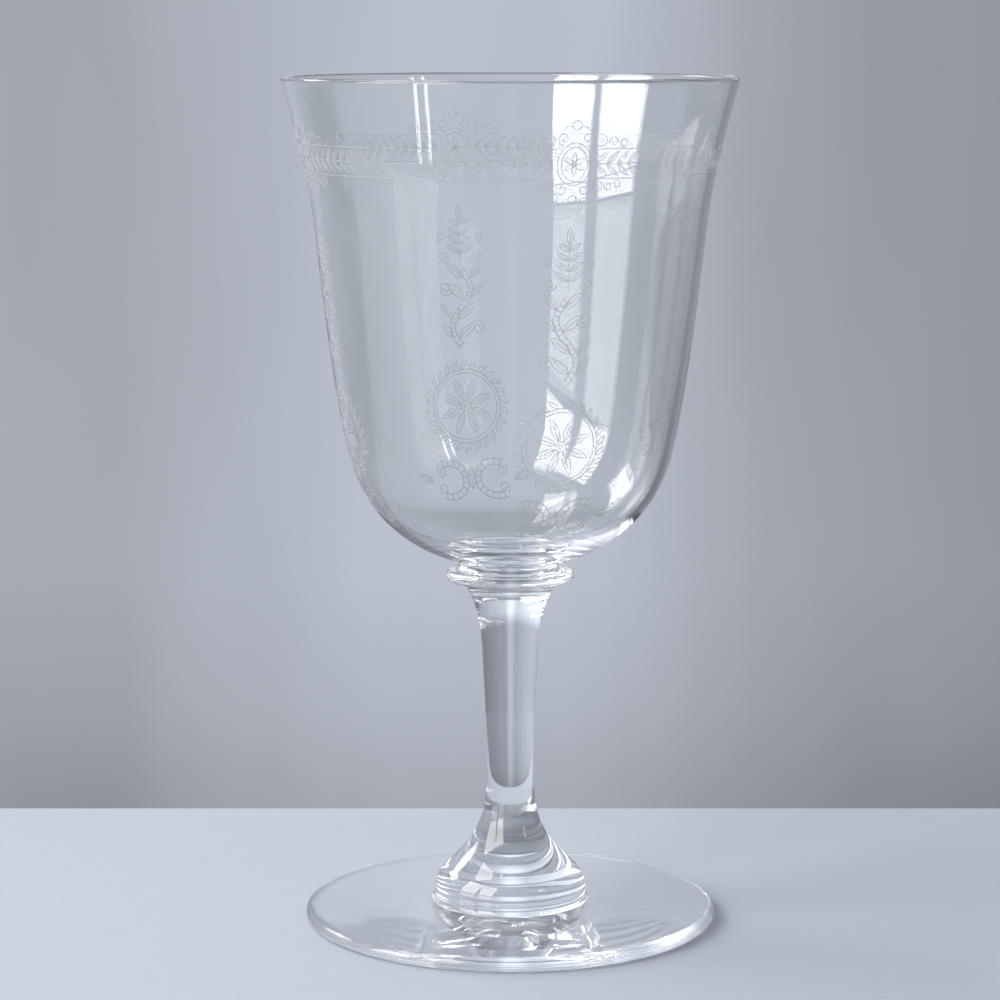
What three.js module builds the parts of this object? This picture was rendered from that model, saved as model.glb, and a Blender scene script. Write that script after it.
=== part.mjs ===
// A stemmed wine glass in clear lead crystal: five pieces of hot glass, worked one onto the next.
// Millimetres, +Z up. The origin is the middle of the ring that the foot stands on, and every
// piece is turned about the Z axis. Pieces meet face to face on flat discs, where they are fused.
import * as THREE from "three";

// Foot: a broad disc, faintly hollow underneath, that stands on a flat ring near its edge.
const footRadius = 36.7;
const footEdgeThickness = 2.5;
const footCentreThickness = 3.4;
const footRestWidth = 1.2;
const footHollowDepth = 0.25;

// Button: the squat round cushion of glass between the foot and the stem, with a small fillet below.
const buttonHeight = 6.3;
const buttonRadius = 13.5;
const buttonWaistHeight = 1.8;
const buttonFilletSpread = 0.8;

// Stem: drawn out thin in the lower half, with a flare at each end.
const stemHeight = 50.6;
const stemBaseRadius = 11.3;
const stemWaistRadius = 4.2;
const stemWaistHeight = 15.8;
const stemNeckRadius = 5.1;
const stemNeckHeight = 40.3;
const stemTopRadius = 7.95;

// Collar: the saucer-shaped bead that joins the stem and the bowl.
const collarHeight = 4.3;
const collarRadius = 11.4;
const collarEdgeThickness = 2.0;
const collarEdgeHeight = 2.0;
const collarTopRadius = 8.2;

// Bowl: blown, with a deep round bottom, nearly straight walls and a lip that turns outwards.
// Each lean is how far the wall moves out for each millimetre that it rises. The round bottom is
// pulled out to bowlBottomPull while it stays nearly level, and down from the belly by bowlBellyPull.
const bowlHeight = 85.4;
const bowlBellyHeight = 21.4;
const bowlBellyRadius = 29.0;
const bowlBellyLean = 0.2;
const bowlThroatHeight = 60.4;
const bowlThroatRadius = 34.4;
const bowlThroatLean = 0.115;
const bowlRimRadius = 39.85;
const bowlRimLean = 0.27;
const bowlBottomPull = 18.0;
const bowlBottomRise = 2.3;
const bowlBellyPull = 12.8;
const rimWall = 1.3;
const throatWall = 1.3;
const bellyWall = 1.5;
const bowlBase = 1.9;

// How full the curves are: the share of a stretch's spread or rise at which the curve's handle sits.
const stemBaseSweepIn = 0.65;
const stemBaseSweepUp = 0.26;
const stemWaistHandle = 0.5;
const flareStartOut = 0.6;
const flareStartUp = 0.4;
const flareEndIn = 0.55;
const flareEndDown = 0.22;
const collarUnderOut = 0.35;
const collarUnderUp = 0.8;
const collarTopIn = 0.6;
const collarTopDown = 0.5;

// How finely the curves are cut up.
const curveSteps = 6;
const edgeSteps = 4;
const bowlSides = 48;
const footSides = 56;
const stemSides = 32;

// Heights at which the pieces meet.
const buttonBottom = footCentreThickness;
const stemBottom = buttonBottom + buttonHeight;
const collarBottom = stemBottom + stemHeight;
const bowlBottom = collarBottom + collarHeight;
const buttonBottomRadius = buttonRadius + buttonFilletSpread;

const crystal = { color: 0xf3f7fa, roughness: 0.03, metalness: 0 };

function cubic(start, startPull, endPull, end) {
  return new THREE.CubicBezierCurve(start, startPull, endPull, end);
}

function point(radius, height) {
  return new THREE.Vector2(radius, height);
}

// A rounded edge: half an ellipse that bulges out from the axis, from one height to another.
function roundedEdge(radius, low, high, depth) {
  const half = (high - low) / 2;
  return new THREE.EllipseCurve(radius - depth, low + half, depth, half, -Math.PI / 2, Math.PI / 2);
}

// Joins curves and single points into one outline, and leaves out points that coincide.
function outline(...parts) {
  const points = [];
  for (const part of parts) {
    const steps = part instanceof THREE.EllipseCurve ? edgeSteps : curveSteps;
    const run = part instanceof THREE.Curve ? part.getPoints(steps) : [part];
    for (const next of run) {
      const last = points.at(-1);
      if (!last || last.distanceTo(next) > 1e-6) points.push(next);
    }
  }
  return points;
}

// Turns an outline about Z. The outline starts and ends on the axis and runs with the glass on its left.
function turned(name, points, sides) {
  const geometry = new THREE.LatheGeometry(points, sides);
  geometry.rotateX(Math.PI / 2);
  const mesh = new THREE.Mesh(geometry, new THREE.MeshStandardMaterial(crystal));
  mesh.name = name;
  return mesh;
}

function foot() {
  const restOuter = footRadius - footEdgeThickness / 2;
  const restInner = restOuter - footRestWidth;
  const hollow = cubic(
    point(0, footHollowDepth),
    point(restInner / 3, footHollowDepth),
    point(restInner * 2 / 3, footHollowDepth / 2),
    point(restInner, 0),
  );
  const edge = roundedEdge(footRadius, 0, footEdgeThickness, footEdgeThickness / 2);
  const topRun = restOuter - buttonBottomRadius;
  const top = cubic(
    point(restOuter, footEdgeThickness),
    point(restOuter - topRun / 3, footEdgeThickness + (footCentreThickness - footEdgeThickness) / 3),
    point(buttonBottomRadius + topRun / 3, footCentreThickness),
    point(buttonBottomRadius, footCentreThickness),
  );
  return turned("foot", outline(hollow, edge, top, point(0, footCentreThickness)), footSides);
}

function button() {
  const waist = buttonBottom + buttonWaistHeight;
  const shoulderRise = stemBottom - waist;
  const fillet = cubic(
    point(buttonBottomRadius, buttonBottom),
    point(buttonRadius + buttonFilletSpread / 3, buttonBottom),
    point(buttonRadius, buttonBottom + buttonWaistHeight / 3),
    point(buttonRadius, waist),
  );
  const shoulder = cubic(
    point(buttonRadius, waist),
    point(buttonRadius, waist + shoulderRise / 2),
    point((buttonRadius + stemBaseRadius) / 2, stemBottom - shoulderRise / 5),
    point(stemBaseRadius, stemBottom),
  );
  const profile = outline(point(0, buttonBottom), fillet, shoulder, point(0, stemBottom));
  return turned("stem_button", profile, stemSides);
}

function stem() {
  const waist = stemBottom + stemWaistHeight;
  const neck = stemBottom + stemNeckHeight;
  const taperRise = neck - waist;
  const taperLean = (stemNeckRadius - stemWaistRadius) / taperRise;
  const flareRise = collarBottom - neck;
  const flareSpread = stemTopRadius - stemNeckRadius;
  const baseSpread = stemBaseRadius - stemWaistRadius;
  const base = cubic(
    point(stemBaseRadius, stemBottom),
    point(stemBaseRadius - baseSpread * stemBaseSweepIn, stemBottom + stemWaistHeight * stemBaseSweepUp),
    point(stemWaistRadius, stemBottom + stemWaistHeight * stemWaistHandle),
    point(stemWaistRadius, waist),
  );
  const taper = cubic(
    point(stemWaistRadius, waist),
    point(stemWaistRadius, waist + taperRise / 3),
    point(stemNeckRadius - taperLean * taperRise / 2, neck - taperRise / 3),
    point(stemNeckRadius, neck),
  );
  const flare = cubic(
    point(stemNeckRadius, neck),
    point(stemNeckRadius + taperLean * flareRise * flareStartOut, neck + flareRise * flareStartUp),
    point(stemTopRadius - flareSpread * flareEndIn, collarBottom - flareRise * flareEndDown),
    point(stemTopRadius, collarBottom),
  );
  const profile = outline(point(0, stemBottom), base, taper, flare, point(0, collarBottom));
  return turned("stem", profile, stemSides);
}

function collar() {
  const edgeBottom = collarBottom + collarEdgeHeight - collarEdgeThickness / 2;
  const edgeTop = edgeBottom + collarEdgeThickness;
  const edgeDepth = collarEdgeThickness / 2;
  const flat = collarRadius - edgeDepth;
  const underSpread = flat - stemTopRadius;
  const underRise = edgeBottom - collarBottom;
  const underside = cubic(
    point(stemTopRadius, collarBottom),
    point(stemTopRadius + underSpread * collarUnderOut, collarBottom + underRise * collarUnderUp),
    point(flat - underSpread / 3, edgeBottom),
    point(flat, edgeBottom),
  );
  const top = cubic(
    point(flat, edgeTop),
    point(flat - (flat - collarTopRadius) * collarTopIn, edgeTop),
    point(collarTopRadius, bowlBottom - (bowlBottom - edgeTop) * collarTopDown),
    point(collarTopRadius, bowlBottom),
  );
  const edge = roundedEdge(collarRadius, edgeBottom, edgeTop, edgeDepth);
  const profile = outline(point(0, collarBottom), underside, edge, top, point(0, bowlBottom));
  return turned("collar", profile, stemSides);
}

// One side of the bowl's wall, from its bottom up to the rim. The three walls set it inwards.
function bowlSide(bottom, atBelly, atThroat, atRim, rimDrop) {
  const belly = point(bowlBellyRadius - atBelly, bowlBottom + bowlBellyHeight);
  const throat = point(bowlThroatRadius - atThroat, bowlBottom + bowlThroatHeight);
  const rim = point(bowlRimRadius - atRim, bowlBottom + bowlHeight - rimDrop);
  const wallPull = (throat.y - belly.y) / 3;
  const lipPull = (rim.y - throat.y) / 3;
  return [
    cubic(
      bottom,
      point(bowlBottomPull - atBelly / 2, bottom.y + (bottom.x > 0 ? bowlBottomRise : 0)),
      point(belly.x - bowlBellyPull * bowlBellyLean, belly.y - bowlBellyPull),
      belly,
    ),
    cubic(
      belly,
      point(belly.x + wallPull * bowlBellyLean, belly.y + wallPull),
      point(throat.x - wallPull * bowlThroatLean, throat.y - wallPull),
      throat,
    ),
    cubic(
      throat,
      point(throat.x + lipPull * bowlThroatLean, throat.y + lipPull),
      point(rim.x - lipPull * bowlRimLean, rim.y - lipPull),
      rim,
    ),
  ];
}

// A curve run the other way.
function reversed(curve) {
  return cubic(curve.v3, curve.v2, curve.v1, curve.v0);
}

function bowl() {
  const lipRise = rimWall / 2;
  const outside = bowlSide(point(collarTopRadius, bowlBottom), 0, 0, 0, lipRise);
  const inside = bowlSide(point(0, bowlBottom + bowlBase), bellyWall, throatWall, rimWall, lipRise);
  const rimHeight = bowlBottom + bowlHeight - lipRise;
  const lipMiddle = bowlRimRadius - rimWall / 2;
  const lip = new THREE.EllipseCurve(lipMiddle, rimHeight, rimWall / 2, lipRise, 0, Math.PI);
  const profile = outline(point(0, bowlBottom), ...outside, lip, ...inside.map(reversed).reverse());
  return turned("bowl", profile, bowlSides);
}

const glass = new THREE.Group();
glass.add(foot(), button(), stem(), collar(), bowl());

export default glass;
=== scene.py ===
"""A stemmed crystal wine glass with an etched bowl, built as an add-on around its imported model.

Lengths are in metres and the origin is the middle of the ring that the foot stands on, +Z up.
"""

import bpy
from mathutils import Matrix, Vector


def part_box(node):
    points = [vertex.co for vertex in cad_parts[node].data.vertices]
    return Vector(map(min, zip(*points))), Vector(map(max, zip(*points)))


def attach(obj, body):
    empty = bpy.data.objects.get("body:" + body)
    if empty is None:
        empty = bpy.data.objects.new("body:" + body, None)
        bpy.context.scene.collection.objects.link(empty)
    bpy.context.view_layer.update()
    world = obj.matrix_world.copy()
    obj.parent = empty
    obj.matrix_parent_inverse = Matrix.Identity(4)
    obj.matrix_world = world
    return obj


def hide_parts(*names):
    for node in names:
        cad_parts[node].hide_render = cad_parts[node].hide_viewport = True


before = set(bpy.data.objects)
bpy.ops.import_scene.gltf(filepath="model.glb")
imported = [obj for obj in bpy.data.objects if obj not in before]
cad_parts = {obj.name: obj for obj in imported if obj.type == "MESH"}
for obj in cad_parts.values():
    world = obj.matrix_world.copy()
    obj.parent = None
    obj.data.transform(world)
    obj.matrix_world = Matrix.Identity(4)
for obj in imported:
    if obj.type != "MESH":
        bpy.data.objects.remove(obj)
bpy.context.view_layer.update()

from math import cos, pi, radians, sin

import bpy
from bpy.props import FloatProperty, FloatVectorProperty, IntProperty, PointerProperty
from mathutils import Vector

bl_info = {
    "name": "Etched Wine Glass",
    "version": (1, 0, 0),
    "blender": (4, 5, 0),
    "location": "3D View > Sidebar > Wine Glass",
    "description": "Makes a turned crystal wine glass with an etched bowl",
    "category": "Add Mesh",
}

FOOT_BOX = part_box("foot")
BUTTON_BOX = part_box("stem_button")
STEM_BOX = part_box("stem")
COLLAR_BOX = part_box("collar")
BOWL_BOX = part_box("bowl")

FOOT_TOP = FOOT_BOX[1].z
BUTTON_TOP = BUTTON_BOX[1].z
STEM_TOP = STEM_BOX[1].z
COLLAR_TOP = COLLAR_BOX[1].z
RIM_TOP = BOWL_BOX[1].z

MM = 0.001
CONTACT_GAP = 0.05 * MM
TOLERANCE = 0.001 * MM
GLASS_BOUNCES = 40


# Sizes and looks that a user can change


def length(name, description, default):
    """A length in metres, written here in millimetres."""
    return FloatProperty(
        name=name,
        description=description,
        default=default * MM,
        min=0.0,
        precision=5,
        subtype="DISTANCE",
        unit="LENGTH",
    )


def lean(name, description, default):
    """How far a wall moves out for each metre that it rises."""
    return FloatProperty(name=name, description=description, default=default)


def colour(name, description, default):
    """A linear RGB colour."""
    return FloatVectorProperty(
        name=name, description=description, default=default, size=3, min=0.0, subtype="COLOR"
    )


class FootSizes(bpy.types.PropertyGroup):
    """The foot and the button on it."""

    edge_thickness: length("Edge thickness", "Thickness of the foot at its rounded edge", 2.5)
    rest_width: length("Rest width", "Width of the flat ring that the foot stands on", 1.2)
    hollow_depth: length("Hollow depth", "How far the underside rises at the middle", 0.25)
    fillet_spread: length("Fillet spread", "How far the button's fillet runs out on the foot", 0.8)
    waist_height: length("Button waist height", "Height of the button's widest point above the foot", 1.8)


class StemSizes(bpy.types.PropertyGroup):
    """The drawn stem and the collar on it."""

    base_radius: length("Base radius", "Radius of the stem where it meets the button", 11.3)
    waist_radius: length("Waist radius", "Radius of the stem at its thinnest", 4.2)
    waist_height: length("Waist height", "Height of the thinnest point above the button", 15.8)
    neck_radius: length("Neck radius", "Radius of the stem where its top flare starts", 5.1)
    neck_height: length("Neck height", "Height of the top flare's start above the button", 40.3)
    top_radius: length("Top radius", "Radius of the stem where it meets the collar", 7.95)
    collar_radius: length("Collar radius", "Radius of the collar's rounded edge", 11.4)
    collar_edge: length("Collar edge", "Thickness of the collar's rounded edge", 2.0)
    collar_edge_height: length("Collar edge height", "Height of the edge's middle on the collar", 2.0)
    collar_top_radius: length("Collar top radius", "Radius of the collar where it meets the bowl", 8.2)


class BowlSizes(bpy.types.PropertyGroup):
    """The blown bowl."""

    belly_height: length("Belly height", "Height of the belly above the collar", 21.4)
    belly_radius: length("Belly radius", "Outer radius at the belly", 29.0)
    belly_lean: lean("Belly lean", "Outward lean of the wall at the belly", 0.2)
    throat_height: length("Throat height", "Height above the collar where the lip starts to flare", 60.4)
    throat_radius: length("Throat radius", "Outer radius at the throat", 34.4)
    throat_lean: lean("Throat lean", "Outward lean of the wall at the throat", 0.115)
    rim_lean: lean("Rim lean", "Outward lean of the wall at the rim", 0.27)
    bottom_pull: length("Bottom pull", "How far out the round bottom stays nearly level", 18.0)
    bottom_rise: length("Bottom rise", "Rise of the outer bottom over that reach", 2.3)
    belly_pull: length("Belly pull", "How far down the belly's lean is carried", 12.8)
    rim_wall: length("Rim wall", "Wall thickness at the rim", 1.3)
    throat_wall: length("Throat wall", "Wall thickness at the throat", 1.3)
    belly_wall: length("Belly wall", "Wall thickness at the belly", 1.5)
    base: length("Base", "Thickness of the bowl's bottom on the axis", 1.9)


class EtchingSizes(bpy.types.PropertyGroup):
    """The etched frieze and the panels under it."""

    repeats: IntProperty(
        name="Repeats", description="How often the pattern comes round the bowl", default=4
    )
    first_turn: FloatProperty(
        name="First turn",
        description="Direction of the first cartouche, seen from above, from +X",
        default=radians(-73.5),
        subtype="ANGLE",
    )
    line_width: length("Line width", "Width of an etched line", 0.2)
    line_depth: length("Line depth", "Thickness of the frosted layer, half of it in the glass", 0.05)
    band_middle: length("Band middle", "Height of the frieze's middle above the table", 136.3)
    band_height: length("Band height", "Distance between the frieze's two border lines", 4.9)


class GlassLook(bpy.types.PropertyGroup):
    """The crystal's finish."""

    tint: colour("Tint", "Colour of the light that the crystal passes", (0.985, 0.992, 0.99))
    ior: FloatProperty(name="Index", description="Index of refraction of lead crystal", default=1.54)
    sides: IntProperty(name="Sides", description="Facets round each turned piece", default=192, min=16)


class StageLook(bpy.types.PropertyGroup):
    """The table, the surroundings and the lights."""

    table_colour: colour("Table", "Colour of the table top", (0.4, 0.428, 0.473))
    table_reach: length("Table reach", "Distance from the glass's axis to the table's back edge", 78.0)
    backdrop: colour("Backdrop", "Colour of the surroundings", (0.47, 0.505, 0.575))
    window_glow: FloatProperty(name="Window", description="Brightness of the window's panes", default=7.0)


SETTINGS = {
    "wine_foot": FootSizes,
    "wine_stem": StemSizes,
    "wine_bowl": BowlSizes,
    "wine_etching": EtchingSizes,
    "wine_look": GlassLook,
    "wine_stage": StageLook,
}


# Outlines: lists of (radius, height) that run round one side of a piece, from the axis to the axis


def cubic(start, start_pull, end_pull, end, steps):
    """Points on a cubic Bezier curve."""
    points = []
    for i in range(steps + 1):
        t = i / steps
        a, b, c, d = (1 - t) ** 3, 3 * (1 - t) ** 2 * t, 3 * (1 - t) * t**2, t**3
        points.append(
            tuple(
                a * p + b * q + c * r + d * s
                for p, q, r, s in zip(start, start_pull, end_pull, end)
            )
        )
    return points


def ellipse(centre, half_width, half_height, start, end, steps):
    """Points on part of an ellipse, between two angles in degrees."""
    angles = [radians(start + (end - start) * i / steps) for i in range(steps + 1)]
    return [
        (centre[0] + half_width * cos(a), centre[1] + half_height * sin(a)) for a in angles
    ]


def joined(*runs):
    """One outline from several runs of points, without the points that coincide."""
    outline = []
    for run in runs:
        for point in run:
            if not outline or (Vector(point) - Vector(outline[-1])).length > 1e-7:
                outline.append(point)
    return outline


CURVE_STEPS = 28
EDGE_STEPS = 20
DISC_STEPS = 4
CREASE_ANGLE = radians(25)

# How full the curves are: the share of a stretch's spread or rise at which the curve's handle sits
STEM_BASE_SWEEP_IN = 0.65
STEM_BASE_SWEEP_UP = 0.26
STEM_WAIST_HANDLE = 0.5
FLARE_START_OUT = 0.6
FLARE_START_UP = 0.4
FLARE_END_IN = 0.55
FLARE_END_DOWN = 0.22
COLLAR_UNDER_OUT = 0.35
COLLAR_UNDER_UP = 0.8
COLLAR_TOP_IN = 0.6
COLLAR_TOP_DOWN = 0.5


def disc(radius, height, outward=True):
    """The flat face of a joint, from the axis out to radius or back in."""
    steps = range(DISC_STEPS + 1)
    run = [(radius * i / DISC_STEPS, height) for i in steps]
    return run if outward else run[::-1]


def foot_outline(sizes):
    """A broad foot, faintly hollow underneath, with a rounded edge."""
    radius = FOOT_BOX[1].x
    button_edge = BUTTON_BOX[1].x
    edge = sizes.edge_thickness
    rest_outer = radius - edge / 2
    rest_inner = rest_outer - sizes.rest_width
    hollow = cubic(
        (0, sizes.hollow_depth),
        (rest_inner / 3, sizes.hollow_depth),
        (rest_inner * 2 / 3, sizes.hollow_depth / 2),
        (rest_inner, 0),
        CURVE_STEPS,
    )
    rounded = ellipse((rest_outer, edge / 2), edge / 2, edge / 2, -90, 90, EDGE_STEPS)
    run = rest_outer - button_edge
    top = cubic(
        (rest_outer, edge),
        (rest_outer - run / 3, edge + (FOOT_TOP - edge) / 3),
        (button_edge + run / 3, FOOT_TOP),
        (button_edge, FOOT_TOP),
        CURVE_STEPS,
    )
    return joined(hollow, rounded, top, disc(button_edge, FOOT_TOP, outward=False))


def button_outline(foot, stem):
    """A squat cushion that runs out onto the foot in a fillet."""
    spread = BUTTON_BOX[1].x
    radius = spread - foot.fillet_spread
    waist = FOOT_TOP + foot.waist_height
    rise = BUTTON_TOP - waist
    fillet = cubic(
        (spread, FOOT_TOP),
        (radius + foot.fillet_spread / 3, FOOT_TOP),
        (radius, FOOT_TOP + foot.waist_height / 3),
        (radius, waist),
        CURVE_STEPS,
    )
    shoulder = cubic(
        (radius, waist),
        (radius, waist + rise / 2),
        ((radius + stem.base_radius) / 2, BUTTON_TOP - rise / 5),
        (stem.base_radius, BUTTON_TOP),
        CURVE_STEPS,
    )
    return joined(
        disc(spread, FOOT_TOP), fillet, shoulder, disc(stem.base_radius, BUTTON_TOP, outward=False)
    )


def stem_outline(sizes):
    """A solid drawn stem with a flare at each end."""
    waist = BUTTON_TOP + sizes.waist_height
    neck = BUTTON_TOP + sizes.neck_height
    taper_rise = neck - waist
    taper_lean = (sizes.neck_radius - sizes.waist_radius) / taper_rise
    flare_rise = STEM_TOP - neck
    flare_spread = sizes.top_radius - sizes.neck_radius
    base_spread = sizes.base_radius - sizes.waist_radius
    base_rise = sizes.waist_height
    base = cubic(
        (sizes.base_radius, BUTTON_TOP),
        (
            sizes.base_radius - base_spread * STEM_BASE_SWEEP_IN,
            BUTTON_TOP + base_rise * STEM_BASE_SWEEP_UP,
        ),
        (sizes.waist_radius, BUTTON_TOP + base_rise * STEM_WAIST_HANDLE),
        (sizes.waist_radius, waist),
        CURVE_STEPS,
    )
    taper = cubic(
        (sizes.waist_radius, waist),
        (sizes.waist_radius, waist + taper_rise / 3),
        (sizes.neck_radius - taper_lean * taper_rise / 2, neck - taper_rise / 3),
        (sizes.neck_radius, neck),
        CURVE_STEPS,
    )
    flare = cubic(
        (sizes.neck_radius, neck),
        (
            sizes.neck_radius + taper_lean * flare_rise * FLARE_START_OUT,
            neck + flare_rise * FLARE_START_UP,
        ),
        (
            sizes.top_radius - flare_spread * FLARE_END_IN,
            STEM_TOP - flare_rise * FLARE_END_DOWN,
        ),
        (sizes.top_radius, STEM_TOP),
        CURVE_STEPS,
    )
    return joined(
        disc(sizes.base_radius, BUTTON_TOP),
        base,
        taper,
        flare,
        disc(sizes.top_radius, STEM_TOP, outward=False),
    )


def collar_outline(sizes):
    """A saucer-shaped bead between the stem and the bowl."""
    edge = sizes.collar_edge
    edge_bottom = STEM_TOP + sizes.collar_edge_height - edge / 2
    edge_top = edge_bottom + edge
    flat = sizes.collar_radius - edge / 2
    under_spread = flat - sizes.top_radius
    underside = cubic(
        (sizes.top_radius, STEM_TOP),
        (
            sizes.top_radius + under_spread * COLLAR_UNDER_OUT,
            STEM_TOP + (edge_bottom - STEM_TOP) * COLLAR_UNDER_UP,
        ),
        (flat - under_spread / 3, edge_bottom),
        (flat, edge_bottom),
        CURVE_STEPS,
    )
    rounded = ellipse((flat, edge_bottom + edge / 2), edge / 2, edge / 2, -90, 90, EDGE_STEPS)
    top = cubic(
        (flat, edge_top),
        (flat - (flat - sizes.collar_top_radius) * COLLAR_TOP_IN, edge_top),
        (sizes.collar_top_radius, COLLAR_TOP - (COLLAR_TOP - edge_top) * COLLAR_TOP_DOWN),
        (sizes.collar_top_radius, COLLAR_TOP),
        CURVE_STEPS,
    )
    return joined(
        disc(sizes.top_radius, STEM_TOP),
        underside,
        rounded,
        top,
        disc(sizes.collar_top_radius, COLLAR_TOP, outward=False),
    )


def bowl_side(sizes, bottom, at_belly, at_throat, at_rim, rim_drop):
    """One side of the bowl's wall, from its bottom to the rim, set in by the three walls."""
    belly = (sizes.belly_radius - at_belly, COLLAR_TOP + sizes.belly_height)
    throat = (sizes.throat_radius - at_throat, COLLAR_TOP + sizes.throat_height)
    rim = (BOWL_BOX[1].x - at_rim, RIM_TOP - rim_drop)
    wall_pull = (throat[1] - belly[1]) / 3
    lip_pull = (rim[1] - throat[1]) / 3
    rise = sizes.bottom_rise if bottom[0] > 0 else 0
    return joined(
        cubic(
            bottom,
            (sizes.bottom_pull - at_belly / 2, bottom[1] + rise),
            (belly[0] - sizes.belly_pull * sizes.belly_lean, belly[1] - sizes.belly_pull),
            belly,
            CURVE_STEPS,
        ),
        cubic(
            belly,
            (belly[0] + wall_pull * sizes.belly_lean, belly[1] + wall_pull),
            (throat[0] - wall_pull * sizes.throat_lean, throat[1] - wall_pull),
            throat,
            CURVE_STEPS,
        ),
        cubic(
            throat,
            (throat[0] + lip_pull * sizes.throat_lean, throat[1] + lip_pull),
            (rim[0] - lip_pull * sizes.rim_lean, rim[1] - lip_pull),
            rim,
            CURVE_STEPS,
        ),
    )


def bowl_outside(sizes, neck_radius):
    """The outer side of the bowl, from the collar to the rim."""
    return bowl_side(sizes, (neck_radius, COLLAR_TOP), 0, 0, 0, sizes.rim_wall / 2)


def bowl_outline(sizes, neck_radius):
    """The bowl's outside, its rounded lip and its inside."""
    half = sizes.rim_wall / 2
    inside = bowl_side(
        sizes,
        (0, COLLAR_TOP + sizes.base),
        sizes.belly_wall,
        sizes.throat_wall,
        sizes.rim_wall,
        half,
    )
    lip = ellipse((BOWL_BOX[1].x - half, RIM_TOP - half), half, half, 0, 180, EDGE_STEPS)
    return joined(
        disc(neck_radius, COLLAR_TOP), bowl_outside(sizes, neck_radius), lip, inside[::-1]
    )


# Etched strokes: runs of (distance round the bowl, height above the table) in millimetres, drawn
# flat about a cartouche's middle line. A stroke that ends where it starts is a closed loop. A ring,
# an arc or a curl takes the place of its middle first and then its radius.

STROKE_STEP = 0.5
CURL_STEPS = 14
CURL_EYE = 0.22
LEAF_STEPS = 5
LEAF_RIB = 0.7


def ring(x, y, radius, height=None):
    """A circle, or an upright ellipse."""
    steps = max(10, int(2 * pi * radius / STROKE_STEP))
    points = ellipse((x, y), radius, height or radius, 0, 360, steps)
    return points[:-1] + points[:1]


def line(start, end):
    """A straight stroke, cut into short steps so that it can follow the bowl."""
    span = Vector(end) - Vector(start)
    steps = max(1, int(span.length / (2 * STROKE_STEP)))
    return [tuple(Vector(start) + span * i / steps) for i in range(steps + 1)]


def arc(x, y, radius, start, end):
    """Part of a circle, between two angles in degrees."""
    steps = max(3, int(abs(radians(end - start)) * radius / STROKE_STEP))
    return ellipse((x, y), radius, radius, start, end, steps)


def curl(x, y, radius, start, turns):
    """A spiral that winds in from its radius to a small eye. Negative turns wind clockwise."""
    steps = int(abs(turns) * CURL_STEPS)
    points = []
    for i in range(steps + 1):
        share = i / steps
        reach = radius * (1 - (1 - CURL_EYE) * share)
        angle = radians(start) + 2 * pi * turns * share
        points.append((x + reach * cos(angle), y + reach * sin(angle)))
    return points


def leaf(x, y, direction, size, width):
    """A pointed leaf: its outline and its rib, growing from its foot in a direction in degrees."""
    along = Vector((cos(radians(direction)), sin(radians(direction))))
    across = Vector((-along.y, along.x))
    foot, tip = Vector((x, y)), Vector((x, y)) + along * size
    edges = []
    for side in (1, -1):
        pull = foot + along * size * 0.25 + across * width * side * 0.75
        end_pull = foot + along * size * 0.7 + across * width * side * 0.55
        edges.append(cubic(foot, pull, end_pull, tip, LEAF_STEPS))
    return [edges[0] + edges[1][-2::-1], line(foot, foot + along * size * LEAF_RIB)]


def mirrored(strokes):
    """Strokes together with their reflection in the middle line."""
    return strokes + [[(-x, y) for x, y in stroke] for stroke in strokes]


def raised(strokes, height):
    """Strokes moved up by a height."""
    return [[(x, y + height) for x, y in stroke] for stroke in strokes]


def frieze_strokes(etching, radius):
    """A cartouche, the leaf garland on both sides of it and the scrolls above and below."""
    half = etching.band_height / 2 / MM
    reach = radius / MM * pi / etching.repeats
    oval_width, oval_height, oval_rim = 2.9, 3.5, 0.7
    petals, petal_size, petal_width = 6, 2.0, 0.7
    leaf_gap, leaf_turn, leaf_size, leaf_width = 2.0, 42, 2.9, 0.8
    strokes = [
        ring(0, 0, oval_width, oval_height),
        ring(0, 0, oval_width - oval_rim, oval_height - oval_rim),
        ring(0, 0, 0.45),
        ring(0, half + 3.9, 0.8),
        ring(0, -half - 3.4, 0.75),
    ]
    for petal in range(petals):
        strokes += leaf(0, 0, 90 + 360 * petal / petals, petal_size, petal_width)[:1]
    side = [
        line((oval_width + 0.2, half), (reach - 0.15, half)),
        line((oval_width + 0.2, -half), (reach - 0.15, -half)),
        line((oval_width + 0.6, 0), (reach - 0.6, 0)),
        curl(2.0, half + 1.7, 1.15, -100, 1.3),
        arc(1.2, half + 2.8, 1.0, 10, 150),
        ring(4.5, half + 1.4, 1.0),
        ring(4.5, half + 1.4, 0.3),
        curl(6.8, half + 1.2, 0.95, 200, -1.2),
        ring(8.7, half + 1.0, 0.65),
        curl(1.9, -half - 1.7, 1.15, 100, -1.3),
        ring(4.3, -half - 1.2, 0.85),
        ring(4.3, -half - 1.2, 0.25),
        ring(3.2, -half - 3.1, 0.7),
        curl(6.3, -half - 1.1, 0.85, 160, 1.2),
        ring(8.0, -half - 0.9, 0.55),
    ]
    for i in range(int((reach - oval_width - 3.4) / leaf_gap)):
        x = oval_width + 0.9 + i * leaf_gap
        side += leaf(x, 0.1, leaf_turn, leaf_size, leaf_width)
        side += leaf(x, -0.1, -leaf_turn, leaf_size, leaf_width)
    return raised(strokes + mirrored(side), etching.band_middle / MM)


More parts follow.
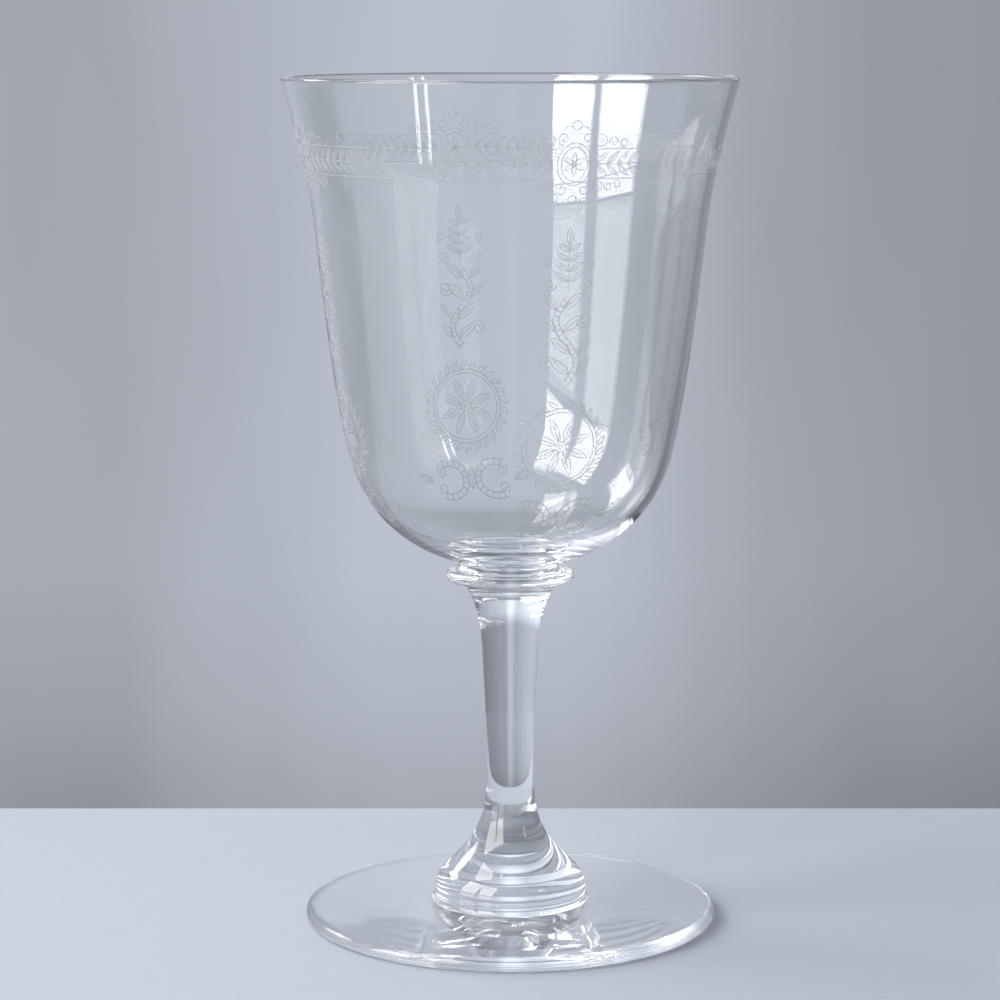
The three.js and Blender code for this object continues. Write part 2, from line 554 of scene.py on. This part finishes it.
def sprig_strokes(foot, height):
    """An upright sprig with paired leaves and a tendril on each side."""
    pairs, pair_gap, top_leaf = 4, 1.7, 3.2
    strokes = [line((0, foot), (0, foot + height - 3))]
    strokes += leaf(0, foot + height - top_leaf, 90, top_leaf, 1.0)
    side = [curl(3.2, foot + 0.9, 1.2, 180, 1.4), curl(3.6, foot + 4.4, 0.9, -90, 1.3)]
    for i in range(pairs):
        side += leaf(0.1, foot + 1.4 + i * pair_gap, 34, 3.0 - 0.3 * i, 0.9)
    return strokes + mirrored(side)


def ribbed(path, gap, width):
    """Two lines beside a path, with ribs between them."""
    left, right, ribs = [], [], []
    for i, point in enumerate(path):
        before, after = Vector(path[max(0, i - 1)]), Vector(path[min(len(path) - 1, i + 1)])
        along = (after - before).normalized()
        across = Vector((-along.y, along.x)) * width / 2
        left.append(tuple(Vector(point) + across))
        right.append(tuple(Vector(point) - across))
        if i % gap == gap // 2:
            ribs.append([left[-1], right[-1]])
    return [left, right] + ribs


def scroll_strokes(top, bottom):
    """A ribbed stem that sways from side to side, with leaves and a curl in every bend."""
    rise = top - bottom
    steps, sway = 36, 1.9
    path = [
        (sway * sin(2 * pi * i / steps), bottom + rise * i / steps) for i in range(steps + 1)
    ]
    strokes = ribbed(path, 2, 1.0)
    for share, side in ((0.12, -1), (0.36, -1), (0.62, 1), (0.88, 1)):
        turn = 90 - 90 * side
        x, y = sway * sin(2 * pi * share), bottom + rise * share
        strokes += leaf(x + 0.6 * side, y, turn + 38 * side, 4.6, 1.5)
        strokes += leaf(x - 0.6 * side, y, 180 - turn - 52 * side, 3.6, 1.2)
    strokes.append(curl(-3.1, bottom + rise * 0.25, 1.5, 0, 1.5))
    strokes.append(curl(3.1, bottom + rise * 0.75, 1.5, 180, 1.5))
    return strokes


def wreath_strokes(middle, radius):
    """A round wreath of leaves about an open flower."""
    leaves, leaf_ring, petals, petal_ring = 26, radius - 1.5, 8, 1.0
    strokes = [ring(0, middle, radius - 1.6), ring(0, middle, radius - 2.2)]
    strokes += [ring(0, middle, 0.9), ring(0, middle, 0.35)]
    for i in range(leaves):
        turn = 360 * i / leaves
        x, y = leaf_ring * cos(radians(turn)), leaf_ring * sin(radians(turn))
        strokes += leaf(x, middle + y, turn + 48, 2.1, 0.75)[:1]
    for i in range(petals):
        turn = 360 * (i + 0.5) / petals
        x, y = petal_ring * cos(radians(turn)), petal_ring * sin(radians(turn))
        strokes += leaf(x, middle + y, turn, radius - 3.8, 1.25)
    return strokes


def foot_scroll_strokes(middle):
    """A pair of ribbed C-scrolls back to back under the wreath."""
    side = ribbed(ellipse((4.6, middle), 3.4, 2.9, 60, 300, 24), 2, 1.1)
    side.append(curl(6.0, middle + 1.5, 1.1, 60, -1.3))
    side.append(curl(6.0, middle - 1.5, 1.1, -60, 1.3))
    side += leaf(8.2, middle, 20, 3.4, 1.2)
    return mirrored(side) + leaf(0, middle - 1.6, 90, 3.4, 1.3)


def panel_strokes():
    """The motifs one under the other below each cartouche."""
    strokes = sprig_strokes(foot=115.5, height=10.5)
    strokes += scroll_strokes(top=114.0, bottom=99.5)
    strokes += wreath_strokes(middle=88.8, radius=8.2)
    strokes += foot_scroll_strokes(middle=76.0)
    return strokes


def outer_radius(height):
    """Outer radius of the bowl's wall at a height above the table."""
    scene = bpy.context.scene
    wall = bowl_outside(scene.wine_bowl, scene.wine_stem.collar_top_radius)
    for (low_radius, low), (high_radius, high) in zip(wall, wall[1:]):
        if low <= height <= high:
            return low_radius + (high_radius - low_radius) * (height - low) / (high - low)
    raise ValueError("the bowl has no wall at that height")


def stroke_mesh(name, strokes):
    """A mesh of loose edges along flat strokes."""
    points, edges = [], []
    for stroke in strokes:
        first = len(points)
        closed = len(stroke) > 2 and (Vector(stroke[0]) - Vector(stroke[-1])).length < 1e-6
        run = stroke[:-1] if closed else stroke
        points += [(x * MM, y * MM, 0) for x, y in run]
        edges += [(first + i, first + i + 1) for i in range(len(run) - 1)]
        if closed:
            edges.append((len(points) - 1, first))
    mesh = bpy.data.meshes.new(name + "_strokes")
    mesh.from_pydata(points, edges, [])
    return mesh


# Geometry nodes


class Tree:
    """A small helper that builds a geometry node tree, left to right."""

    def __init__(self, name, inputs):
        self.tree = bpy.data.node_groups.new(name, "GeometryNodeTree")
        interface = self.tree.interface
        interface.new_socket("Geometry", in_out="INPUT", socket_type="NodeSocketGeometry")
        self.identifiers = {}
        for label, kind, default in inputs:
            socket = interface.new_socket(label, in_out="INPUT", socket_type="NodeSocket" + kind)
            if default is not None:
                socket.default_value = default
            self.identifiers[label] = socket.identifier
        interface.new_socket("Geometry", in_out="OUTPUT", socket_type="NodeSocketGeometry")
        self.inputs = self.node("NodeGroupInput").outputs

    def node(self, kind, links=None, **settings):
        """Adds a node. Settings are its properties and links its inputs, by name or place."""
        made = self.tree.nodes.new(kind)
        made.location = (200 * len(self.tree.nodes), 0)
        for key, value in settings.items():
            setattr(made, key, value)
        for key, value in (links or {}).items():
            self.feed(made.inputs[key], value)
        return made

    def feed(self, socket, value):
        """Links a socket to another node's output, or sets its value."""
        if isinstance(value, bpy.types.NodeSocket):
            self.tree.links.new(value, socket)
        elif isinstance(value, bpy.types.Node):
            self.tree.links.new(value.outputs[0], socket)
        else:
            socket.default_value = value

    def math(self, operation, a, b=0.0, c=0.0):
        """A math node's result."""
        return self.node("ShaderNodeMath", {0: a, 1: b, 2: c}, operation=operation).outputs[0]

    def finish(self, geometry):
        """Links the result to the output."""
        self.node("NodeGroupOutput", {0: geometry})
        return self


def run_tree(tree, source, name, values):
    """Runs a tree on a source mesh and returns the result as a plain mesh object."""
    carrier = bpy.data.objects.new(name + "_carrier", source)
    bpy.context.scene.collection.objects.link(carrier)
    modifier = carrier.modifiers.new(tree.tree.name, "NODES")
    modifier.node_group = tree.tree
    for label, value in values.items():
        modifier[tree.identifiers[label]] = value
    bpy.context.view_layer.update()
    evaluated = carrier.evaluated_get(bpy.context.evaluated_depsgraph_get())
    mesh = bpy.data.meshes.new_from_object(evaluated)
    mesh.name = name
    while None in list(mesh.materials):  # an empty slot that the tree's own mesh brings
        mesh.materials.pop(index=list(mesh.materials).index(None))
    bpy.data.objects.remove(carrier)
    bpy.data.meshes.remove(source)
    piece = bpy.data.objects.new(name, mesh)
    bpy.context.scene.collection.objects.link(piece)
    return piece


def turning_tree():
    """Turns an outline about Z into a closed body, with its joint faces in their own material."""
    t = Tree(
        "Turned Glass",
        [
            ("Outline Points", "Int", 8),
            ("Sides", "Int", 64),
            ("Joint Below", "Float", -1.0),
            ("Joint Above", "Float", 1.0),
            ("Glass", "Material", None),
            ("Joint", "Material", None),
        ],
    )
    given = t.inputs
    columns = t.math("ADD", given["Sides"], 1.0)
    grid = t.node(
        "GeometryNodeMeshGrid", {"Vertices X": given["Outline Points"], "Vertices Y": columns}
    )
    index = t.node("GeometryNodeInputIndex")
    step = t.math("FLOOR", t.math("DIVIDE", t.math("ADD", index.outputs[0], 0.5), columns))
    side = t.math("SUBTRACT", index.outputs[0], t.math("MULTIPLY", step, columns))
    turn = t.math("MULTIPLY", t.math("DIVIDE", side, given["Sides"]), 2 * pi)
    sample = t.node(
        "GeometryNodeSampleIndex",
        {"Geometry": given["Geometry"], "Value": t.node("GeometryNodeInputPosition"), "Index": step},
        data_type="FLOAT_VECTOR",
    )
    at = t.node("ShaderNodeSeparateXYZ", {0: sample.outputs["Value"]})
    place = t.node(
        "ShaderNodeCombineXYZ",
        {
            "X": t.math("MULTIPLY", at.outputs["X"], t.math("COSINE", turn)),
            "Y": t.math("MULTIPLY", at.outputs["X"], t.math("SINE", turn)),
            "Z": at.outputs["Z"],
        },
    )
    turned = t.node("GeometryNodeSetPosition", {"Geometry": grid.outputs["Mesh"], "Position": place})
    closed = t.node("GeometryNodeMergeByDistance", {"Geometry": turned, "Distance": TOLERANCE})
    smooth = t.node("GeometryNodeSetShadeSmooth", {"Geometry": closed, "Shade Smooth": True})
    angle = t.node("GeometryNodeInputMeshEdgeAngle").outputs["Unsigned Angle"]
    creased = t.node(
        "GeometryNodeSetShadeSmooth",
        {
            "Geometry": smooth,
            "Selection": t.math("GREATER_THAN", angle, CREASE_ANGLE),
            "Shade Smooth": False,
        },
        domain="EDGE",
    )
    outward = t.node("GeometryNodeFlipFaces", {"Mesh": creased})
    real = t.node("GeometryNodeRealizeInstances", {"Geometry": outward})
    height = t.node("ShaderNodeSeparateXYZ", {0: t.node("GeometryNodeInputPosition")}).outputs["Z"]
    below = t.math("LESS_THAN", height, t.math("ADD", given["Joint Below"], TOLERANCE))
    above = t.math("GREATER_THAN", height, t.math("SUBTRACT", given["Joint Above"], TOLERANCE))
    glass = t.node("GeometryNodeSetMaterial", {"Geometry": real, "Material": given["Glass"]})
    joints = t.node(
        "GeometryNodeSetMaterial",
        {
            "Geometry": glass,
            "Selection": t.math("MAXIMUM", below, above),
            "Material": given["Joint"],
        },
    )
    return t.finish(joints)


def turned_piece(node, outline, glass, sides, joint_below=-1.0, joint_above=1.0):
    """A closed body turned from an outline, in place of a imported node."""
    source = bpy.data.meshes.new(node + "_outline")
    source.from_pydata([(radius, 0, height) for radius, height in outline], [], [])
    tree = turning_tree()
    values = {
        "Outline Points": len(outline),
        "Sides": sides,
        "Joint Below": joint_below,
        "Joint Above": joint_above,
        "Glass": glass,
        "Joint": joint_material(),
    }
    piece = run_tree(tree, source, "crystal_" + node, values)
    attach(piece, "root")
    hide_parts(node)
    return piece


def etching_tree():
    """Gives flat strokes a width, lays them on the bowl's outside and repeats them round it."""
    t = Tree(
        "Etched Lines",
        [
            ("Bowl", "Object", None),
            ("Line Width", "Float", 0.2 * MM),
            ("Line Depth", "Float", 0.05 * MM),
            ("Repeats", "Int", 4),
            ("First Turn", "Float", 0.0),
            ("Frost", "Material", None),
        ],
    )
    given = t.inputs
    strokes = t.node("GeometryNodeMeshToCurve", {"Mesh": given["Geometry"]})
    level = t.node("GeometryNodeSetCurveNormal", {"Curve": strokes}, mode="Z_UP")
    section = t.node(
        "GeometryNodeCurvePrimitiveQuadrilateral",
        {"Width": given["Line Width"], "Height": given["Line Depth"]},
    )
    ribbons = t.node(
        "GeometryNodeCurveToMesh", {"Curve": level, "Profile Curve": section, "Fill Caps": True}
    )
    flat = t.node("ShaderNodeSeparateXYZ", {0: t.node("GeometryNodeInputPosition")})
    far_out = 2 * BOWL_BOX[1].x
    start = t.node("ShaderNodeCombineXYZ", {"X": far_out, "Y": TOLERANCE, "Z": flat.outputs["Y"]})
    bowl = t.node("GeometryNodeObjectInfo", {"Object": given["Bowl"]})
    wall = t.node(
        "GeometryNodeRaycast",
        {
            "Target Geometry": bowl.outputs["Geometry"],
            "Source Position": start,
            "Ray Direction": (-1, 0, 0),
            "Ray Length": far_out,
        },
    )
    hit = t.node("ShaderNodeSeparateXYZ", {0: wall.outputs["Hit Position"]})
    out = t.node("ShaderNodeSeparateXYZ", {0: wall.outputs["Hit Normal"]})
    turn = t.math("DIVIDE", flat.outputs["X"], hit.outputs["X"])
    radius = t.math("MULTIPLY_ADD", out.outputs["X"], flat.outputs["Z"], hit.outputs["X"])
    height = t.math("MULTIPLY_ADD", out.outputs["Z"], flat.outputs["Z"], hit.outputs["Z"])
    place = t.node(
        "ShaderNodeCombineXYZ",
        {
            "X": t.math("MULTIPLY", radius, t.math("COSINE", turn)),
            "Y": t.math("MULTIPLY", radius, t.math("SINE", turn)),
            "Z": height,
        },
    )
    laid = t.node("GeometryNodeSetPosition", {"Geometry": ribbons, "Position": place})
    step = t.math("DIVIDE", 2 * pi, given["Repeats"])
    index = t.node("GeometryNodeInputIndex")
    repeat_turn = t.math("MULTIPLY_ADD", index.outputs[0], step, given["First Turn"])
    around = t.node(
        "GeometryNodeInstanceOnPoints",
        {
            "Points": t.node("GeometryNodePoints", {"Count": given["Repeats"]}),
            "Instance": laid,
            "Rotation": t.node("ShaderNodeCombineXYZ", {"Z": repeat_turn}),
        },
    )
    real = t.node("GeometryNodeRealizeInstances", {"Geometry": around})
    return t.finish(t.node("GeometryNodeSetMaterial", {"Geometry": real, "Material": given["Frost"]}))


def etched_piece(name, strokes, bowl, frost):
    """Frosted lines laid on the bowl's outside."""
    etching = bpy.context.scene.wine_etching
    values = {
        "Bowl": bowl,
        "Line Width": etching.line_width,
        "Line Depth": etching.line_depth,
        "Repeats": etching.repeats,
        "First Turn": etching.first_turn,
        "Frost": frost,
    }
    piece = run_tree(etching_tree(), stroke_mesh(name, strokes), name, values)
    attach(piece, "root")
    return piece


# Materials


def new_material(name):
    """An empty node material and its output node."""
    material = bpy.data.materials.new(name)
    material.use_nodes = True
    material.node_tree.nodes.clear()
    output = material.node_tree.nodes.new("ShaderNodeOutputMaterial")
    return material, material.node_tree, output


def joint_material():
    """A fused joint: light goes straight through it."""
    found = bpy.data.materials.get("fused_joint")
    if found:
        return found
    material, tree, output = new_material("fused_joint")
    clear = tree.nodes.new("ShaderNodeBsdfTransparent")
    tree.links.new(clear.outputs[0], output.inputs["Surface"])
    return material


def crystal_material(name, waviness, scale, stretch):
    """Clear lead crystal whose surface is slightly uneven, as worked glass is.

    Its waves are waviness high, scale sets how close together they are, and a stretch under 1 draws
    them out upwards.
    """
    look = bpy.context.scene.wine_look
    material, tree, output = new_material(name)
    new, link = tree.nodes.new, tree.links.new
    shader = new("ShaderNodeBsdfPrincipled")
    shader.inputs["Base Color"].default_value = (*look.tint, 1)
    shader.inputs["IOR"].default_value = look.ior
    shader.inputs["Transmission Weight"].default_value = 1.0
    shader.inputs["Roughness"].default_value = 0.0
    coordinates = new("ShaderNodeTexCoord")
    mapping = new("ShaderNodeMapping")
    mapping.inputs["Scale"].default_value = (1, 1, stretch)
    waves = new("ShaderNodeTexNoise")
    waves.inputs["Scale"].default_value = scale
    waves.inputs["Detail"].default_value = 1
    bump = new("ShaderNodeBump")
    bump.inputs["Strength"].default_value = 1.0
    bump.inputs["Distance"].default_value = waviness
    link(coordinates.outputs["Object"], mapping.inputs["Vector"])
    link(mapping.outputs[0], waves.inputs["Vector"])
    link(waves.outputs[0], bump.inputs["Height"])
    link(bump.outputs[0], shader.inputs["Normal"])
    link(shader.outputs[0], output.inputs["Surface"])
    return material


def frost_material():
    """Acid-etched lines: a thin grainy layer that scatters the light that passes it."""
    material, tree, output = new_material("frosted_etching")
    new, link = tree.nodes.new, tree.links.new
    shader = new("ShaderNodeBsdfPrincipled")
    shader.inputs["Roughness"].default_value = 0.6
    shader.inputs["IOR"].default_value = 1.3
    shader.inputs["Transmission Weight"].default_value = 0.7
    shader.inputs["Alpha"].default_value = 0.45
    coordinates = new("ShaderNodeTexCoord")
    grain = new("ShaderNodeTexNoise")
    grain.inputs["Scale"].default_value = 2500
    grain.inputs["Detail"].default_value = 3
    shades = new("ShaderNodeMix")
    shades.data_type = "RGBA"
    shades.inputs["A"].default_value = (0.78, 0.81, 0.84, 1)
    shades.inputs["B"].default_value = (0.98, 0.99, 1.0, 1)
    bump = new("ShaderNodeBump")
    bump.inputs["Distance"].default_value = 0.01 * MM
    link(coordinates.outputs["Object"], grain.inputs["Vector"])
    link(grain.outputs[0], shades.inputs["Factor"])
    link(shades.outputs["Result"], shader.inputs["Base Color"])
    link(grain.outputs[0], bump.inputs["Height"])
    link(bump.outputs[0], shader.inputs["Normal"])
    link(shader.outputs[0], output.inputs["Surface"])
    return material


# Stage

TABLE_HALF_WIDTH = 0.7
TABLE_DEPTH = 0.75
TABLE_THICKNESS = 0.03
TABLE_MOTTLE = 0.04


def table_material():
    """A pale matt table top with a faint mottle."""
    look = bpy.context.scene.wine_stage
    material, tree, output = new_material("pale_table")
    new, link = tree.nodes.new, tree.links.new
    shader = new("ShaderNodeBsdfPrincipled")
    shader.inputs["Roughness"].default_value = 0.7
    coordinates = new("ShaderNodeTexCoord")
    mottle = new("ShaderNodeTexNoise")
    mottle.inputs["Scale"].default_value = 350
    mottle.inputs["Detail"].default_value = 5
    shades = new("ShaderNodeMix")
    shades.data_type = "RGBA"
    shades.inputs["A"].default_value = (*[c * (1 - TABLE_MOTTLE) for c in look.table_colour], 1)
    shades.inputs["B"].default_value = (*[c * (1 + TABLE_MOTTLE) for c in look.table_colour], 1)
    link(coordinates.outputs["Object"], mottle.inputs["Vector"])
    link(mottle.outputs[0], shades.inputs["Factor"])
    link(shades.outputs["Result"], shader.inputs["Base Color"])
    link(shader.outputs[0], output.inputs["Surface"])
    return material


def make_table():
    """A slab whose top the foot stands on and whose back edge is a little behind the glass."""
    top = -CONTACT_GAP
    back = bpy.context.scene.wine_stage.table_reach
    xs = (-TABLE_HALF_WIDTH, TABLE_HALF_WIDTH)
    ys = (back - TABLE_DEPTH, back)
    zs = (top - TABLE_THICKNESS, top)
    corners = [(x, y, z) for z in zs for y in ys for x in xs]
    faces = [(0, 2, 3, 1), (4, 5, 7, 6), (0, 1, 5, 4), (2, 6, 7, 3), (0, 4, 6, 2), (1, 3, 7, 5)]
    mesh = bpy.data.meshes.new("table")
    mesh.from_pydata(corners, [], faces)
    mesh.materials.append(table_material())
    table = bpy.data.objects.new("table", mesh)
    bpy.context.scene.collection.objects.link(table)


def ramp(tree, factor, stops):
    """A grey ramp whose stops are (position, brightness)."""
    node = tree.nodes.new("ShaderNodeValToRGB")
    elements = node.color_ramp.elements
    while len(elements) < len(stops):
        elements.new(0.5)
    for element, (position, value) in zip(elements, stops):
        element.position = position
        element.color = (value, value, value, 1)
    tree.links.new(factor, node.inputs["Fac"])
    return node.outputs["Color"]


# Brightness of the surroundings across (from -X to +X), along (from -Y to +Y) and upwards (from -Z
# to +Z), by direction
GLOW_ACROSS = (
    (-1.0, 1.25),
    (-0.4, 1.0),
    (-0.15, 0.78),
    (-0.115, 0.79),
    (-0.085, 0.93),
    (-0.03, 1.08),
    (0.03, 1.04),
    (0.08, 0.77),
    (0.115, 0.68),
    (0.16, 0.64),
    (1.0, 0.3),
)
GLOW_ALONG = ((-1.0, 0.45), (-0.4, 0.55), (0.3, 1.0), (1.0, 1.0))
GLOW_UP = (
    (-1.0, 0.45),
    (-0.26, 0.68),
    (-0.235, 0.78),
    (-0.21, 0.90),
    (-0.17, 1.0),
    (0.02, 1.0),
    (0.16, 1.9),
    (0.45, 1.9),
    (1.0, 1.0),
)


def make_surroundings():
    """Grey-blue cloth all round, lit from the window's side, with faint folds."""
    look = bpy.context.scene.wine_stage
    world = bpy.data.worlds.new("surroundings")
    world.use_nodes = True
    tree = world.node_tree
    new, link = tree.nodes.new, tree.links.new
    direction = new("ShaderNodeTexCoord").outputs["Generated"]
    parts = new("ShaderNodeSeparateXYZ")
    link(direction, parts.inputs[0])
    shade = None
    for axis, glow in (("X", GLOW_ACROSS), ("Y", GLOW_ALONG), ("Z", GLOW_UP)):
        place = new("ShaderNodeMapRange")
        place.inputs["From Min"].default_value = -1
        link(parts.outputs[axis], place.inputs["Value"])
        level = ramp(tree, place.outputs[0], [((at + 1) / 2, value) for at, value in glow])
        if shade is None:
            shade = level
            continue
        both = new("ShaderNodeVectorMath")
        both.operation = "MULTIPLY"
        link(shade, both.inputs[0])
        link(level, both.inputs[1])
        shade = both.outputs[0]
    stretch = new("ShaderNodeMapping")
    stretch.inputs["Rotation"].default_value = (0, radians(35), 0)
    stretch.inputs["Scale"].default_value = (9, 9, 2.5)
    folds = new("ShaderNodeTexNoise")
    folds.inputs["Scale"].default_value = 1.6
    folds.inputs["Detail"].default_value = 3
    soft = new("ShaderNodeMapRange")
    soft.inputs["To Min"].default_value = 0.86
    soft.inputs["To Max"].default_value = 1.14
    link(direction, stretch.inputs["Vector"])
    link(stretch.outputs[0], folds.inputs["Vector"])
    link(folds.outputs[0], soft.inputs["Value"])
    folded = new("ShaderNodeVectorMath")
    folded.operation = "SCALE"
    link(shade, folded.inputs[0])
    link(soft.outputs[0], folded.inputs["Scale"])
    cloth = new("ShaderNodeVectorMath")
    cloth.operation = "MULTIPLY"
    cloth.inputs[1].default_value = look.backdrop
    link(folded.outputs[0], cloth.inputs[0])
    link(cloth.outputs[0], tree.nodes["Background"].inputs["Color"])
    scene = bpy.context.scene
    scene.world = world
    scene.view_settings.view_transform = "Standard"
    light_paths = scene.cycles
    light_paths.max_bounces = GLASS_BOUNCES
    light_paths.transmission_bounces = GLASS_BOUNCES
    light_paths.glossy_bounces = GLASS_BOUNCES
    light_paths.transparent_max_bounces = GLASS_BOUNCES


def aimed(obj, place, target):
    """Puts a light or camera at a place, facing a target."""
    obj.location = place
    obj.rotation_euler = (Vector(target) - Vector(place)).to_track_quat("-Z", "Y").to_euler()
    bpy.context.scene.collection.objects.link(obj)


# Soft lights, each with its azimuth from the viewer's side towards +X and its elevation in degrees,
# its width and height in metres and its brightness beside the window's upper panes
LIGHTS = (
    ("window_left", -70.0, 33.0, 0.72, 0.98, 1.0),
    ("window_right", -38.5, 33.0, 0.58, 0.98, 1.0),
    ("window_left_sill", -70.0, 8.5, 0.72, 0.36, 0.4),
    ("window_right_sill", -38.5, 8.5, 0.58, 0.36, 0.4),
    ("slit_left", 57.0, 30.0, 0.03, 0.36, 1.6),
    ("slit_right", 50.5, 29.0, 0.03, 0.30, 1.6),
    ("ceiling_left", -112.0, 66.0, 0.80, 0.50, 0.8),
    ("window_far", -126.0, 30.0, 0.62, 0.36, 1.0),
)
LIGHT_DISTANCE = 1.6
LIGHT_TARGET = (0, 0, 0.08)


def make_light(name, azimuth, elevation, width, height, radiance):
    """A soft rectangular light that shows only in the glass."""
    a, e = radians(azimuth), radians(elevation)
    place = Vector((sin(a) * cos(e), -cos(a) * cos(e), sin(e))) * LIGHT_DISTANCE
    data = bpy.data.lights.new(name, "AREA")
    data.shape = "RECTANGLE"
    data.size, data.size_y = width, height
    data.energy = radiance * pi * width * height
    light = bpy.data.objects.new(name, data)
    light.visible_camera = False
    aimed(light, place, LIGHT_TARGET)


CAMERA_PLACE = (-0.0018, -0.5596, 0.1601)
CAMERA_PITCH = 8.59
CAMERA_LENS = 115.1


def make_camera():
    """The viewer: a long lens a little above the rim, tilted down."""
    data = bpy.data.cameras.new("viewer")
    data.lens = CAMERA_LENS
    data.sensor_width = 36
    data.clip_start = 0.01
    camera = bpy.data.objects.new("viewer", data)
    camera.location = CAMERA_PLACE
    camera.rotation_euler = (radians(90 - CAMERA_PITCH), 0, 0)
    bpy.context.scene.collection.objects.link(camera)
    bpy.context.scene.camera = camera


# Operators


class WINEGLASS_OT_foot(bpy.types.Operator):
    """Makes the foot"""

    bl_idname = "wineglass.foot"
    bl_label = "Foot"

    def execute(self, context):
        scene = context.scene
        glass = crystal_material("foot_crystal", waviness=0.04 * MM, scale=90, stretch=1.0)
        turned_piece(
            "foot", foot_outline(scene.wine_foot), glass, scene.wine_look.sides, joint_above=FOOT_TOP
        )
        return {"FINISHED"}


class WINEGLASS_OT_stem(bpy.types.Operator):
    """Makes the button, the stem and the collar"""

    bl_idname = "wineglass.stem"
    bl_label = "Stem"

    def execute(self, context):
        scene = context.scene
        glass = crystal_material("stem_crystal", waviness=0.03 * MM, scale=110, stretch=0.5)
        sides = scene.wine_look.sides
        button = button_outline(scene.wine_foot, scene.wine_stem)
        turned_piece("stem_button", button, glass, sides, FOOT_TOP, BUTTON_TOP)
        turned_piece("stem", stem_outline(scene.wine_stem), glass, sides, BUTTON_TOP, STEM_TOP)
        turned_piece("collar", collar_outline(scene.wine_stem), glass, sides, STEM_TOP, COLLAR_TOP)
        return {"FINISHED"}


class WINEGLASS_OT_bowl(bpy.types.Operator):
    """Makes the bowl"""

    bl_idname = "wineglass.bowl"
    bl_label = "Bowl"

    def execute(self, context):
        scene = context.scene
        glass = crystal_material("bowl_crystal", waviness=0.05 * MM, scale=70, stretch=0.3)
        outline = bowl_outline(scene.wine_bowl, scene.wine_stem.collar_top_radius)
        turned_piece("bowl", outline, glass, scene.wine_look.sides, joint_below=COLLAR_TOP)
        return {"FINISHED"}


class WINEGLASS_OT_etching(bpy.types.Operator):
    """Etches the frieze and the panels on the bowl"""

    bl_idname = "wineglass.etching"
    bl_label = "Etching"

    def execute(self, context):
        etching = context.scene.wine_etching
        bowl = bpy.data.objects["crystal_bowl"]
        frost = frost_material()
        frieze = frieze_strokes(etching, outer_radius(etching.band_middle))
        etched_piece("etched_frieze", frieze, bowl, frost)
        etched_piece("etched_panels", panel_strokes(), bowl, frost)
        return {"FINISHED"}


class WINEGLASS_OT_stage(bpy.types.Operator):
    """Makes the table, the surroundings, the lights and the camera"""

    bl_idname = "wineglass.stage"
    bl_label = "Stage"

    def execute(self, context):
        glow = context.scene.wine_stage.window_glow
        make_camera()
        make_table()
        make_surroundings()
        for name, azimuth, elevation, width, height, share in LIGHTS:
            make_light(name, azimuth, elevation, width, height, share * glow)
        return {"FINISHED"}


class WINEGLASS_PT_panel(bpy.types.Panel):
    """Lists the glass's pieces in the 3D view's sidebar"""

    bl_label = "Wine Glass"
    bl_space_type = "VIEW_3D"
    bl_region_type = "UI"
    bl_category = "Wine Glass"

    def draw(self, context):
        for operator in OPERATORS:
            self.layout.operator(operator.bl_idname)
        for name, group in SETTINGS.items():
            box = self.layout.box()
            for field in group.__annotations__:
                box.prop(getattr(context.scene, name), field)


OPERATORS = (
    WINEGLASS_OT_stage,
    WINEGLASS_OT_foot,
    WINEGLASS_OT_stem,
    WINEGLASS_OT_bowl,
    WINEGLASS_OT_etching,
)


def register():
    """Registers the settings, the operators and the panel."""
    for name, group in SETTINGS.items():
        bpy.utils.register_class(group)
        setattr(bpy.types.Scene, name, PointerProperty(type=group))
    for operator in OPERATORS:
        bpy.utils.register_class(operator)
    bpy.utils.register_class(WINEGLASS_PT_panel)


def unregister():
    """Takes everything that register added away again."""
    bpy.utils.unregister_class(WINEGLASS_PT_panel)
    for operator in reversed(OPERATORS):
        bpy.utils.unregister_class(operator)
    for name, group in SETTINGS.items():
        delattr(bpy.types.Scene, name)
        bpy.utils.unregister_class(group)


def main():
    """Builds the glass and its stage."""
    register()
    for operator in OPERATORS:
        group, action = operator.bl_idname.split(".")
        getattr(getattr(bpy.ops, group), action)()


if __name__ == "__main__":
    main()
